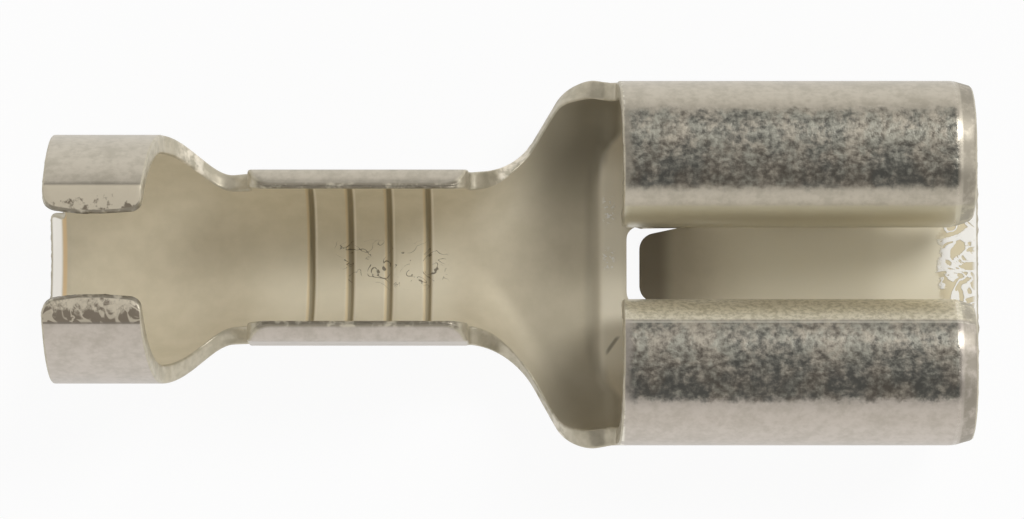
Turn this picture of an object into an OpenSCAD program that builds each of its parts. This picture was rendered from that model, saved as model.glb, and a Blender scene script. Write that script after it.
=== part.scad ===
/* [Sheet] */
// Thickness of the brass sheet that the terminal is stamped and folded from
sheet = 0.4; // [0.35:0.01:0.5]

/* [Receptacle] */
// Width over the two curls
rec_w = 7.7; // [7.2:0.1:8.6]
// Length of the curls
curl_l = 7.55; // [6.5:0.05:9]
// Height from the underside of the floor to the crown of the curls
rec_h = 3.1; // [2.9:0.05:3.8]
// Outer radius of the bend between the floor and the side wall
low_bend_r = 1.2; // [1:0.05:1.4]
// Outer radius of the bend between the side wall and the crown
top_bend_r = 1.45; // [1.2:0.05:1.5]
// Outer radius of the bend that turns the crown down to the tab
tip_bend_r = 1.17; // [0.9:0.01:1.3]
// Gap between the two curls
curl_gap = 1.56; // [1.2:0.02:2]
// Free height between the floor and the curl edges, less than the tab it grips
grip_gap = 0.64; // [0.5:0.02:0.75]
// Radius of the rear lower corner of each curl
curl_corner_r = 0.35; // [0.1:0.05:0.5]
// How far the rear edge of a curl leans forward at its crown
curl_rake = 0.12; // [0:0.02:0.3]
// Length of the floor past the curls at the mouth
lip_l = 0.26; // [0.1:0.02:0.5]
// Length of the coined bevel round the outside of each curl's mouth
mouth_bevel_l = 0.45; // [0.2:0.05:0.7]
// Depth of that bevel
mouth_bevel_d = 0.13; // [0.05:0.01:0.2]
// Length of the lead-in bevel on the floor at the mouth
lead_l = 0.7; // [0.4:0.05:1.2]
// Depth of the lead-in bevel
lead_d = 0.2; // [0.1:0.02:0.25]

/* [Floor joggle] */
// Rise of the receptacle floor over the floor of the shoulder
joggle_rise = 0.08; // [0.04:0.01:0.15]
// Length of the ramp up to the receptacle floor
joggle_l = 0.16; // [0.1:0.02:0.2]
// Distance from the joggle to the curls
joggle_to_curl = 0.38; // [0.3:0.02:0.5]
// Half width of the straight part of the joggle
joggle_half = 1.6; // [1.2:0.05:1.8]

/* [Window and lance] */
// Distance from the rear of the curls to the window
window_back = 0.3; // [0.2:0.02:0.6]
// Width of the window
window_w = 1.85; // [1.4:0.05:2.2]
// Radius of the window's rear corners
window_corner_r = 0.36; // [0.1:0.02:0.5]
// Gap between the window and the free end of the lance
lance_end_gap = 0.3; // [0.2:0.02:0.6]
// Gap along each side of the lance
lance_side_gap = 0.04; // [0.03:0.01:0.08]
// How much narrower each side of the lance is at its free end
lance_taper = 0.14; // [0.05:0.01:0.25]
// Length over which the lance narrows
lance_taper_l = 0.56; // [0.3:0.02:0.8]
// Length of the lance along the floor
lance_l = 5.2; // [3.5:0.1:6]
// Angle at which the lance is bent down out of the floor
lance_angle = 10; // [6:0.5:12]
// Inner radius of the bend at the root of the lance
lance_bend_r = 2.2; // [1:0.1:4]

/* [Wire barrel] */
// Length of the wire barrel
wire_l = 4.62; // [3.5:0.02:6]
// Inner radius of the wire barrel
wire_r = 1.455; // [1.3:0.005:1.6]
// Height of the wire barrel's wings over its underside
wire_h = 3.1; // [2.8:0.05:3.6]
// Angle at which the wings lean inward
wire_lean = 4; // [2:0.5:6]
// Radius of the wings' corners
wire_corner_r = 0.5; // [0.2:0.05:0.7]
// Width of the coined bevel along the outside of each wing's top
wire_bevel_w = 0.3; // [0.1:0.02:0.32]
// Height of that bevel
wire_bevel_h = 0.3; // [0.1:0.02:0.5]
// Number of grooves pressed into the barrel to bite the strands
groove_n = 4; // [2:1:5]
// Distance between grooves
groove_pitch = 0.81; // [0.7:0.01:1]
// Width of a groove
groove_w = 0.2; // [0.1:0.01:0.3]
// Depth of a groove
groove_d = 0.1; // [0.05:0.01:0.15]
// Distance from the rear of the barrel to the first groove
groove_start = 1.37; // [0.8:0.02:1.6]

/* [Insulation barrel] */
// Length of the insulation barrel
ins_l = 2.3; // [1.8:0.05:3]
// Inner radius of the insulation barrel
ins_r = 2.2; // [2:0.01:2.4]
// Gap between the two wing edges
ins_gap = 1.8; // [1.4:0.05:2.2]
// How far the front edge of the wings leans back at the top
ins_rake = 0.28; // [0:0.02:0.5]
// Radius of the wings' corners
ins_corner_r = 0.3; // [0.1:0.02:0.5]
// Length of the coined bevel on each wing edge
ins_bevel_l = 0.46; // [0.2:0.02:0.6]
// Depth of that bevel
ins_bevel_d = 0.24; // [0.1:0.02:0.28]
// Length of the cut-off stub left by the carrier strip
stub_l = 0.33; // [0.15:0.01:0.4]
// Width of the cut-off stub
stub_w = 2.1; // [1.4:0.05:2.6]
// Thickness left at the end of the stub
stub_tip = 0.1; // [0.05:0.01:0.2]

/* [Neck] */
// Distance between the insulation barrel and the wire barrel
neck_l = 1.75; // [1.3:0.05:2.5]
// Slope of the sheet's edge where the neck meets the wire barrel
edge_slope_neck = 79; // [70:1:84]
// Length of the straight end of the neck
neck_end_l = 0.38; // [0.2:0.02:0.6]
// How much the sheared edge of the neck opens outward half way along
neck_open = 22; // [10:1:30]

/* [Shoulder] */
// Distance between the wire barrel and the curls
shoulder_l = 3.12; // [2.8:0.02:4]
// Radius of the hollow part of the shoulder's outline
hollow_r = 1.7; // [1.2:0.05:2]
// Radius of the round part of the shoulder's outline
round_r = 0.85; // [0.6:0.05:1]
// Slope of the shoulder's outline between them
outline_slope = 60; // [55:1:65]
// Slope of the sheet's edge at the wire barrel
edge_slope_wire = 82; // [70:1:84]
// Slope of the sheet's edge in the middle of the shoulder
edge_slope_mid = 27; // [20:1:40]
// How far the corners of the shoulder stand out past the curls
corner_bulge = 0.07; // [0:0.01:0.12]
// Height of the upright wall behind each curl
wall_stub = 0.16; // [0.1:0.02:0.2]

/* [Hidden] */

$fn = 96;
// How far a formed blend runs into a straight section
lap = 0.12;
// How far the faces of a blend lie inside those of the straight section
inset = 0.012;
// Overshoot of a cutting shape
over = 1;
// Steps round half of a blend's section
half_steps = 15;
// Shares of the shoulder over which its edges come down, and over which they rise again
down_share = 0.48;
rise_share = 0.38;

// Places along the terminal, counted from the end of the stub
x_ins = stub_l;
x_neck = x_ins + ins_l;
x_wire = x_neck + neck_l;
x_shoulder = x_wire + wire_l;
x_rec = x_shoulder + shoulder_l;
x_mouth = x_rec + curl_l;
total_l = x_mouth + lip_l;

// Sections
ins_out_r = ins_r + sheet;
wire_out_r = wire_r + sheet;
floor_half = rec_w/2 - low_bend_r;
crown_y = curl_gap/2 + tip_bend_r;
wing_angle = acos(ins_gap/2/(ins_r + sheet/2));
ins_top = ins_out_r*(1 + sin(wing_angle));

// Lance, seen from the side
x_window = x_rec + window_back;
x_root = x_window + lance_end_gap + lance_l;
lance_straight = (lance_l - (lance_bend_r + sheet)*sin(lance_angle))/cos(lance_angle);
lance_drop = lance_bend_r*(1 - cos(lance_angle)) + lance_straight*sin(lance_angle) - joggle_rise;

function clamp01(u) = min(1, max(0, u));
function ease(u) = let (c = clamp01(u)) c*c*(3 - 2*c);
function mix(a, b, u) = a + (b - a)*u;

// Point of the sheet's mid line at distance s from the middle: flat, then an arc, then straight
function mid_point(s, flat, r, slope) =
    s <= flat ? [s, 0, 0]
    : let (turn = min(slope, (s - flat)/r*180/PI), rest = s - flat - r*turn*PI/180)
      [flat + r*sin(turn) + rest*cos(turn), r*(1 - cos(turn)) + rest*sin(turn), turn];

// One face of the sheet: side is -1 for the underside and 1 for the inside
function face_points(form, side) =
    let (flat = form[0], r = form[1] - sheet/2, slope = form[2], rest = form[3],
         reach = flat + r*slope*PI/180 + rest, half = sheet/2 - inset)
    [for (i = [-half_steps : half_steps])
        let (p = mid_point(reach*abs(i)/half_steps, flat, r, slope), side_y = sign(i))
        [side_y*(p[0] - side*half*sin(p[2])), sheet/2 + p[1] + side*half*cos(p[2])]];

// Closed section of the sheet at one place
function ring(form) =
    let (inside = face_points(form, 1), under = face_points(form, -1), last = 2*half_steps)
    concat(under, [for (i = [0 : last]) inside[last - i]]);

// Solid through the sections of a blend, with lift(x, y) added to each height
module blend(places, form, lift) {
    rings = [for (x = places) [for (p = ring(form(x))) [x, p[0], p[1] + lift(x, p[0])]]];
    n = len(rings[0]);
    last = len(places) - 1;
    sides = [for (k = [0 : last - 1]) for (i = [0 : n - 1])
        let (a = k*n + i, b = k*n + (i + 1)%n, c = a + n, d = b + n)
        each [[a, c, b], [b, c, d]]];
    ends = [for (i = [0 : n/2 - 2])
        let (a = i, b = i + 1, c = n - 2 - i, d = n - 1 - i, far = last*n)
        each [[a, b, c], [a, c, d], [far + a, far + c, far + b], [far + a, far + d, far + c]]];
    polyhedron(points = [for (r = rings) each r], faces = concat(sides, ends), convexity = 6);
}

// Extrudes a section drawn in Y and Z along X
module along_x(x, l) {
    translate([x, 0, 0]) rotate([90, 0, 90]) linear_extrude(l) children();
}

// Extrudes a side view drawn in X and Z across the whole width
module across_y(w) {
    rotate([90, 0, 0]) translate([0, 0, -w/2]) linear_extrude(w) children();
}

// Bent strip from angle a0 to a1, less than half a turn
module bend(r_out, thick, a0, a1) {
    reach = 2*r_out;
    mid = (a0 + a1)/2;
    intersection() {
        difference() {
            circle(r_out);
            circle(r_out - thick);
        }
        polygon([[0, 0], reach*[cos(a0), sin(a0)], reach*[cos(mid), sin(mid)], reach*[cos(a1), sin(a1)]]);
    }
}

module both_sides() {
    children();
    mirror([1, 0]) children();
}

// Section of the receptacle, with both curls
module receptacle_section() {
    both_sides() {
        square([floor_half, sheet]);
        translate([floor_half, low_bend_r]) bend(low_bend_r, sheet, -90, 0);
        translate([rec_w/2 - sheet, low_bend_r]) square([sheet, rec_h - low_bend_r - top_bend_r]);
        translate([rec_w/2 - top_bend_r, rec_h - top_bend_r]) bend(top_bend_r, sheet, 0, 90);
        translate([crown_y, rec_h - sheet]) square([rec_w/2 - top_bend_r - crown_y, sheet]);
        translate([crown_y, rec_h - tip_bend_r]) bend(tip_bend_r, sheet, 90, 180);
        translate([curl_gap/2, sheet + grip_gap])
            square([sheet, rec_h - tip_bend_r - sheet - grip_gap]);
    }
}

// Band that follows the wall of the wire barrel
module wire_band(r_out, thick, top) {
    rise = (top - wire_out_r - r_out*sin(wire_lean))/cos(wire_lean);
    translate([0, wire_out_r]) both_sides() {
        bend(r_out, thick, -90, wire_lean);
        rotate(wire_lean) translate([r_out - thick, 0]) square([thick, rise]);
    }
}

// Section of the insulation barrel: round, with the outside of the two wing edges bevelled
module insulation_section() {
    outward = [cos(wing_angle), sin(wing_angle)];
    along = [-outward[1], outward[0]];
    tip = ins_out_r*outward;
    translate([0, ins_out_r]) both_sides() difference() {
        bend(ins_out_r, sheet, -90, wing_angle);
        polygon([tip - ins_bevel_l*along, tip - ins_bevel_d*outward,
                 tip - ins_bevel_d*outward + over*along, tip + over*outward + over*along,
                 tip - ins_bevel_l*along + over*outward]);
    }
}

// Waste outside a rounded corner: the corner is at the origin and the metal is at +X and -Y
module corner_waste(r, reach) {
    difference() {
        translate([-reach, -r]) square([reach + r, reach + r]);
        translate([r, -r]) circle(r);
    }
}

// Barrel with its wings cut back along a raked front edge
module raked_barrel() {
    difference() {
        along_x(x_ins, ins_l) insulation_section();
        across_y(2*ins_out_r + over)
            polygon([[x_neck, ins_out_r], [x_neck - ins_rake, ins_top],
                     [x_neck - ins_rake, ins_top + over], [x_neck + over, ins_top + over],
                     [x_neck + over, ins_out_r]]);
    }
}

// Floor curve, wings, bevelled edges and the cut-off stub at the rear
module insulation_barrel() {
    difference() {
        raked_barrel();
        for (side = [0, 1]) mirror([0, side, 0]) translate([0, 0, ins_out_r + sheet]) {
            translate([x_ins, ins_gap/2, 0]) mirror([0, 1, 0])
                linear_extrude(ins_top) corner_waste(ins_corner_r, ins_gap/2);
            translate([x_neck - ins_rake, ins_gap/2, 0]) rotate(180)
                linear_extrude(ins_top) corner_waste(ins_corner_r, ins_gap/2);
        }
    }
    difference() {
        along_x(0, x_ins + sheet) intersection() {
            insulation_section();
            translate([-stub_w/2, 0]) square([stub_w, ins_out_r]);
        }
        across_y(stub_w + over)
            polygon([[-over, 0], [0, stub_tip], [x_ins, sheet], [x_ins, ins_out_r], [-over, ins_out_r]]);
    }
}

// Sheet between the two barrels, where the edges come down and the trough narrows
module neck() {
    end_half = wire_out_r*sin(edge_slope_neck);
    function form(x) =
        let (u = clamp01((x - x_neck)/neck_l),
             half = mix(ins_out_r, end_half, ease((x - x_neck)/(neck_l - neck_end_l))),
             slope = mix(90, edge_slope_neck, u) - neck_open*sin(180*u))
        [0, half/sin(slope), slope, 0];
    steps = 12;
    blend([for (i = [-1 : steps + 1]) i < 0 ? x_neck - lap : i > steps ? x_wire + lap
              : x_neck + neck_l*i/steps],
          function (x) form(x), function (x, y) 0);
}

// Half width of the shoulder's outline: a hollow arc, a straight and a round arc
function outline_half(x) =
    let (from = wire_out_r*sin(edge_slope_wire), to = rec_w/2 + corner_bulge, rise = to - from,
         hollow_l = hollow_r*sin(outline_slope), hollow_rise = hollow_r*(1 - cos(outline_slope)),
         round_l = round_r*sin(outline_slope), round_rise = round_r*(1 - cos(outline_slope)),
         straight_l = (rise - hollow_rise - round_rise)/tan(outline_slope),
         end_x = x_rec - joggle_to_curl - joggle_l,
         u = x - (end_x - round_l - straight_l - hollow_l))
    u <= 0 ? from
    : u < hollow_l ? from + hollow_r - sqrt(hollow_r*hollow_r - u*u)
    : u < hollow_l + straight_l ? from + hollow_rise + (u - hollow_l)*tan(outline_slope)
    : x < end_x ? to - round_r + sqrt(round_r*round_r - (end_x - x)*(end_x - x))
    : mix(to, rec_w/2, ease((x - end_x)/(x_rec - end_x)));

// Dished sheet from the wire barrel to the receptacle, with the joggle in its floor
module shoulder() {
    joggle_x = x_rec - joggle_to_curl;
    corner_w = floor_half - joggle_half;
    open_l = joggle_x - x_shoulder;
    function form(x) =
        let (u = (x - x_shoulder)/open_l,
             down = ease(u/down_share),
             rise = ease((u - 1)/rise_share + 1),
             slope = mix(mix(edge_slope_wire, edge_slope_mid, down), 90, rise),
             flat = floor_half*ease(u))
        [flat, (outline_half(x) - flat)/sin(slope), slope, wall_stub*ease((x - joggle_x)/joggle_to_curl)];
    function lift(x, y) =
        let (q = clamp01((abs(y) - joggle_half)/corner_w),
             edge = joggle_x + (joggle_to_curl - joggle_l)*(1 - sqrt(1 - q*q)))
        joggle_rise*ease((x - edge)/joggle_l + 0.5);
    open_steps = 18;
    joggle_steps = 10;
    open_end = joggle_x - joggle_l;
    blend(concat([x_shoulder - lap],
                 [for (i = [0 : open_steps]) mix(x_shoulder, open_end, i/open_steps)],
                 [for (i = [1 : joggle_steps]) mix(open_end, x_rec, i/joggle_steps)],
                 [x_rec + lap]),
          function (x) form(x), function (x, y) lift(x, y));
}

// Waste outside the bevels along the tops of the wire barrel's wings
module wing_bevel_waste() {
    top = (wire_h - wire_out_r*(1 + sin(wire_lean)))/cos(wire_lean);
    translate([0, wire_out_r]) both_sides() rotate(wire_lean) translate([wire_out_r, top])
        polygon([[-wire_bevel_w, 0], [0, -wire_bevel_h], [over, -wire_bevel_h],
                 [over, over], [-wire_bevel_w, over]]);
}

// Barrel that is crimped round the strands, with its pressed grooves
module wire_barrel() {
    difference() {
        along_x(x_wire, wire_l) difference() {
            wire_band(wire_out_r, sheet, wire_h);
            wing_bevel_waste();
        }
        for (i = [0 : groove_n - 1])
            along_x(x_wire + groove_start + i*groove_pitch - groove_w/2, groove_w)
                wire_band(wire_r + groove_d, 2*groove_d, wire_h - 2*groove_d);
        across_y(rec_w) {
            translate([x_wire, wire_h]) corner_waste(wire_corner_r, over);
            translate([x_shoulder, wire_h]) mirror([1, 0]) corner_waste(wire_corner_r, over);
        }
    }
}

// Waste outside the bevelled mouth of one curl: the bends give cones and the flats wedges
module mouth_waste() {
    slope = mouth_bevel_d/mouth_bevel_l;
    l = mouth_bevel_l + inset/slope + over;
    far = l*slope - inset;
    side_z = rec_h - top_bend_r;
    flank_z = rec_h - tip_bend_r;
    tip_z = sheet + grip_gap/2;
    translate([x_mouth + over - l, 0, 0]) difference() {
        translate([0, curl_gap/4, -over]) cube([l, rec_w/2, rec_h + 2*over]);
        translate([0, rec_w/2 - top_bend_r, side_z]) rotate([0, 90, 0])
            cylinder(h = l, r1 = top_bend_r + inset, r2 = top_bend_r - far);
        translate([0, crown_y, flank_z]) rotate([0, 90, 0])
            cylinder(h = l, r1 = tip_bend_r + inset, r2 = tip_bend_r - far);
        translate([0, 0, -2*over]) {
            linear_extrude(2*over + side_z)
                polygon([[-over, crown_y], [l + over, crown_y], [l + over, rec_w/2 - far - over*slope],
                         [-over, rec_w/2 + inset + over*slope]]);
            linear_extrude(2*over + flank_z)
                polygon([[-over, curl_gap/2 - inset - over*slope], [-over, rec_w/2 - top_bend_r],
                         [l + over, rec_w/2 - top_bend_r], [l + over, curl_gap/2 + far + over*slope]]);
            linear_extrude(2*over + tip_z) translate([-over, 0]) square([l + 2*over, floor_half]);
        }
        translate([0, (crown_y + rec_w/2 - top_bend_r)/2, 0])
            across_y(rec_w/2 - top_bend_r - crown_y)
                polygon([[-over, tip_z], [l + over, tip_z], [l + over, rec_h - far - over*slope],
                         [-over, rec_h + inset + over*slope]]);
    }
}

// Window cut through the floor, with round rear corners
module window_outline(w, r) {
    translate([x_window + r, -w/2]) square([x_root - x_window - r, w]);
    translate([x_window, -w/2 + r]) square([r + sheet, w - 2*r]);
    for (side = [-1, 1]) translate([x_window + r, side*(w/2 - r)]) circle(r);
}

// Locking lance bent down out of the floor
module lance() {
    half = window_w/2 - lance_side_gap;
    free_x = x_window + lance_end_gap;
    intersection() {
        translate([0, 0, joggle_rise]) across_y(window_w) translate([x_root, -lance_bend_r]) {
            bend(lance_bend_r + sheet, sheet, 90, 90 + lance_angle);
            rotate(lance_angle) translate([-lance_straight, lance_bend_r])
                square([lance_straight, sheet]);
            translate([0, lance_bend_r]) square([sheet, sheet]);
        }
        translate([0, 0, -rec_h]) linear_extrude(2*rec_h)
            polygon([[free_x - sheet, -half + lance_taper], [free_x + lance_taper, -half + lance_taper],
                     [free_x + lance_taper_l, -half], [x_root + over, -half], [x_root + over, half],
                     [free_x + lance_taper_l, half], [free_x + lance_taper, half - lance_taper],
                     [free_x - sheet, half - lance_taper]]);
    }
}

// Waste behind the raked rear edge of the curls, and round their lower corners
module curl_end_waste() {
    wall_z = low_bend_r + wall_stub;
    rear_x = x_rec + curl_rake*(sheet + grip_gap - wall_z)/(rec_h - wall_z);
    across_y(rec_w + over)
        polygon([[x_rec - over, wall_z], [x_rec, wall_z], [x_rec + curl_rake, rec_h],
                 [x_rec + curl_rake, rec_h + over], [x_rec - over, rec_h + over]]);
    across_y(2*crown_y) translate([0, sheet + grip_gap]) {
        translate([rear_x, 0]) mirror([0, 1]) corner_waste(curl_corner_r, grip_gap/2);
        translate([x_mouth, 0]) rotate(180) corner_waste(curl_corner_r, grip_gap/2);
    }
}

// Floor and curls that grip the tab, with the window, the lance and the mouth bevels
module receptacle() {
    lead_far = lead_d*(1 + over/lead_l);
    lead_top = sheet + grip_gap/2;
    difference() {
        translate([0, 0, joggle_rise]) difference() {
            union() {
                along_x(x_rec, curl_l) receptacle_section();
                along_x(x_rec, curl_l + lip_l)
                    translate([-floor_half, 0]) square([2*floor_half, sheet]);
            }
            curl_end_waste();
            mouth_waste();
            mirror([0, 1, 0]) mouth_waste();
            across_y(2*floor_half)
                polygon([[total_l - lead_l, sheet], [total_l + over, sheet - lead_far],
                         [total_l + over, lead_top], [total_l - lead_l, lead_top]]);
        }
        translate([0, 0, -over]) linear_extrude(2*over) window_outline(window_w, window_corner_r);
    }
    lance();
}

// The whole stamped and folded sheet
module terminal() {
    color("#b8b2a0") translate([-total_l/2, 0, lance_drop]) {
        insulation_barrel();
        neck();
        wire_barrel();
        shoulder();
        receptacle();
    }
}

terminal();
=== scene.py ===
import math

import bpy
import numpy as np
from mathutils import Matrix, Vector
from mathutils.geometry import delaunay_2d_cdt


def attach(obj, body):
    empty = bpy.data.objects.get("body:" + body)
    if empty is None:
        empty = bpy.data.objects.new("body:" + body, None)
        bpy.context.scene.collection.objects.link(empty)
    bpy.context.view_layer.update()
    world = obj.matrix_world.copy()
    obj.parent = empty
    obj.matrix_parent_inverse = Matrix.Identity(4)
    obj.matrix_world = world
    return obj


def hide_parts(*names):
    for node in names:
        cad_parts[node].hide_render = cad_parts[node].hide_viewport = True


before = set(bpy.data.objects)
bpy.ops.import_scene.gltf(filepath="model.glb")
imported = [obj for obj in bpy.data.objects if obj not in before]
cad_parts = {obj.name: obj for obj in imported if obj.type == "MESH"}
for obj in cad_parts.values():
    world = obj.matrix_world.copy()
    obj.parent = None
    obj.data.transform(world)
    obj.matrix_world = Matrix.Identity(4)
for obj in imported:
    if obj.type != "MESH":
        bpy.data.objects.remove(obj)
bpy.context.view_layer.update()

# ---------------------------------------------------------------------------------------------
# Camera: a long lens that looks almost straight down into the open side of the terminal, with
# the mouth on the right. It leans a little towards -Y, so that high edges shift up in the view.
# ---------------------------------------------------------------------------------------------
CAMERA_DISTANCE = 0.087
CAMERA_LEAN = math.radians(3.0)
AIM = Vector((-0.00005, 0.00016, 0.0008))
VIEW_WIDTH = 0.02207
SENSOR_WIDTH = 36

lens = bpy.data.cameras.new("camera")
lens.sensor_width = SENSOR_WIDTH
lens.lens = SENSOR_WIDTH * CAMERA_DISTANCE / VIEW_WIDTH
lens.clip_start = 0.002
lens.clip_end = 5
camera = bpy.data.objects.new("camera", lens)
back = Vector((0, -math.sin(CAMERA_LEAN), math.cos(CAMERA_LEAN)))
camera.location = AIM + CAMERA_DISTANCE * back
camera.rotation_euler = (CAMERA_LEAN, 0, 0)
bpy.context.collection.objects.link(camera)
bpy.context.scene.camera = camera

# ---------------------------------------------------------------------------------------------
# Terminal: a strip of 0.4 mm tin-plated brass, sheared out with its window and its lance, coined
# along the edges that meet a tab or a wire, and folded up in one tool. So it is made here as a
# flat blank, whose points are then folded. Lengths are in millimetres.
# ---------------------------------------------------------------------------------------------
MM = 0.001
QUARTER = math.pi / 2
SHEET = 0.4
HALF = SHEET / 2  # bend radii are those of the middle of the sheet, this far in from its outside

# Receptacle: its floor, two walls and the two curls, whose lower edges grip the tab.
REC_W = 7.7
REC_H = 3.1
CURL_L = 7.55
LOW_R = 1.2 - HALF
TOP_R = 1.45 - HALF
TIP_R = 1.17 - HALF
CURL_GAP = 1.56  # between the two curls
GRIP_GAP = 0.64  # under them, a little less than the tab is thick
CURL_RAKE = 0.12  # of their rear ends, from the walls' foot to the crowns
CURL_CORNER_R = 0.35
CROWN_BACK = 0.06  # the crowns end this far before the walls at the mouth

# Mouth: the floor's lip with its lead-in, and the bevel round the outside.
LIP_L = 0.26
LEAD_L = 0.7
LEAD_D = 0.2
MOUTH_BEVEL_L = 0.45
MOUTH_BEVEL_D = 0.13
MOUTH_BEVEL_LOW = 0.5  # it starts this far below the top of the wall's lower bend

# Joggle, the step up in the floor, then the window and the lance that is bent out of it.
JOGGLE_RISE = 0.08
JOGGLE_L = 0.16
JOGGLE_TO_CURL = 0.38
JOGGLE_HALF = 1.6  # its straight part, before it turns back to the curls
WINDOW_BACK = 0.2  # from the curls' rear ends
WINDOW_HALF = 1.85 / 2
WINDOW_R = 0.36
LANCE_L = 5.2
LANCE_ANGLE = math.radians(10)
LANCE_R = 2.2 + HALF
LANCE_END_GAP = 0.4
LANCE_SIDE_GAP = 0.04
LANCE_TAPER = 0.24
LANCE_TAPER_L = 1.2
LANCE_CORNER_R = 0.3
LANCE_MARGIN = 0.1  # points this far past its free end are still its own

# Shoulder: a hollow arc, a straight and a round arc in plan, which bulges past the curls.
SHOULDER_L = 3.12
HOLLOW_R = 1.7
ROUND_R = 0.85
OUTLINE_SLOPE = math.radians(60)
CORNER_BULGE = 0.07
EDGE_SLOPE_WIRE = math.radians(82)
EDGE_SLOPE_MID = math.radians(27)
DOWN_SHARE = 0.48  # of the shoulder, over which its edges lean outward
RISE_SHARE = 0.38  # of the shoulder, over which they stand up again
WALL_STUB = 0.16  # height of wall that the shoulder's edges end in, below the curls

# Wire barrel, with bevelled wings and four grooves that bite into the strands.
WIRE_L = 4.62
WIRE_R = 1.455 + HALF
WIRE_H = 3.1
WIRE_LEAN = math.radians(4)
WIRE_CORNER_R = 0.5
WIRE_BEVEL_W = 0.3
WIRE_BEVEL_H = 0.3
GROOVE_N = 4
GROOVE_START = 1.25
GROOVE_PITCH = 0.83
GROOVE_W = 0.2
GROOVE_D = 0.1
GROOVE_FLAT = 0.1  # of its half width
GROOVE_TO_TIP = 0.18
GROOVE_FADE = 0.15

# Neck between the barrels.
NECK_L = 1.75
NECK_END_L = 0.38
NECK_OPEN = math.radians(22)
EDGE_SLOPE_NECK = math.radians(79)

# Insulation barrel, with bevelled wing tips, and the stub where the terminal left its strip.
INS_L = 2.3
INS_R = 2.2 + HALF
INS_GAP = 1.8
INS_RAKE = 0.28
INS_CORNER_R = 0.3
INS_BEVEL_L = 0.46
INS_BEVEL_D = 0.24
TIP_BULGE = 0.02
TIP_FRONT_DROP = 0.08
TIP_REAR_DROP = 0.04
STUB_L = 0.33
STUB_W = 2.1
STUB_TIP = 0.1

# The barrels of this one were pressed a little off its axis, towards +Y.
OFF_LINE = 0.1
OFF_LINE_INS = 0.3  # of that at the insulation barrel
OFF_LINE_END_L = 2.4  # of the shoulder, over which it ends

# Places along the terminal, from the cut-off stub to the mouth.
X_INS = STUB_L
X_NECK = X_INS + INS_L
X_WIRE = X_NECK + NECK_L
X_SHOULDER = X_WIRE + WIRE_L
X_REC = X_SHOULDER + SHOULDER_L
X_MOUTH = X_REC + CURL_L
TOTAL_L = X_MOUTH + LIP_L
X_JOGGLE = X_REC - JOGGLE_TO_CURL
X_WINDOW = X_REC + WINDOW_BACK
X_ROOT = X_WINDOW + LANCE_END_GAP + LANCE_L
GROOVES = [X_WIRE + GROOVE_START + i * GROOVE_PITCH for i in range(GROOVE_N)]

# Places across the blank, from its middle line out: where each bend and each flat ends.
FLOOR_HALF = REC_W / 2 - LOW_R - HALF
WALL_L = REC_H - LOW_R - TOP_R - SHEET
CROWN_L = REC_W / 2 - TOP_R - TIP_R - SHEET - CURL_GAP / 2
TIP_L = REC_H - TIP_R - HALF - SHEET - GRIP_GAP
S_WALL = FLOOR_HALF + LOW_R * QUARTER
S_TOP = S_WALL + WALL_L
S_CROWN = S_TOP + TOP_R * QUARTER
S_END = S_CROWN + CROWN_L + TIP_R * QUARTER + TIP_L
INS_ANGLE = math.acos(INS_GAP / 2 / INS_R)
INS_REACH = INS_R * (QUARTER + INS_ANGLE)
WIRE_TURN = QUARTER + WIRE_LEAN
WIRE_UPRIGHT = (WIRE_H - HALF - WIRE_R * (1 + math.sin(WIRE_LEAN))) / math.cos(WIRE_LEAN)
WIRE_REACH = WIRE_R * WIRE_TURN + WIRE_UPRIGHT
LANCE_TURN = LANCE_R * LANCE_ANGLE
LANCE_STRAIGHT = (LANCE_L - (LANCE_R + HALF) * math.sin(LANCE_ANGLE)) / math.cos(LANCE_ANGLE)
LANCE_HALF = WINDOW_HALF - LANCE_SIDE_GAP
X_FREE = X_ROOT - LANCE_TURN - LANCE_STRAIGHT

# A wing's points are bent as their own barrel is, also where they reach past its end.
INS_WING_S = INS_R * QUARTER - 0.1
WIRE_WING_S = WIRE_R * WIRE_TURN - 0.4
PAST_END = 0.15
JUST = 1e-6


def ease(u):
    """0 at 0, 1 at 1 and level at both."""
    c = np.clip(u, 0, 1)
    return c * c * (3 - 2 * c)


def mix(a, b, u):
    """a where u is 0, b where it is 1."""
    return a + (b - a) * u


def outline_half(x):
    """Half width of the shoulder over its outside: a hollow arc, a straight and a round arc."""
    start = (WIRE_R + HALF) * math.sin(EDGE_SLOPE_WIRE)
    full = REC_W / 2 + CORNER_BULGE
    hollow_l = HOLLOW_R * math.sin(OUTLINE_SLOPE)
    hollow_rise = HOLLOW_R * (1 - math.cos(OUTLINE_SLOPE))
    round_l = ROUND_R * math.sin(OUTLINE_SLOPE)
    round_rise = ROUND_R * (1 - math.cos(OUTLINE_SLOPE))
    straight_l = (full - start - hollow_rise - round_rise) / math.tan(OUTLINE_SLOPE)
    end = X_JOGGLE - JOGGLE_L
    u = x - (end - round_l - straight_l - hollow_l)
    hollow = start + HOLLOW_R - np.sqrt(np.maximum(HOLLOW_R**2 - np.clip(u, 0, hollow_l) ** 2, 0))
    straight = start + hollow_rise + (u - hollow_l) * math.tan(OUTLINE_SLOPE)
    rounded = full - ROUND_R + np.sqrt(np.maximum(ROUND_R**2 - np.clip(end - x, 0, round_l) ** 2, 0))
    closing = CORNER_BULGE * ease((x - end) / (X_REC - end))
    return np.where(u < hollow_l, hollow, np.where(u < hollow_l + straight_l, straight, rounded - closing))


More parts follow.
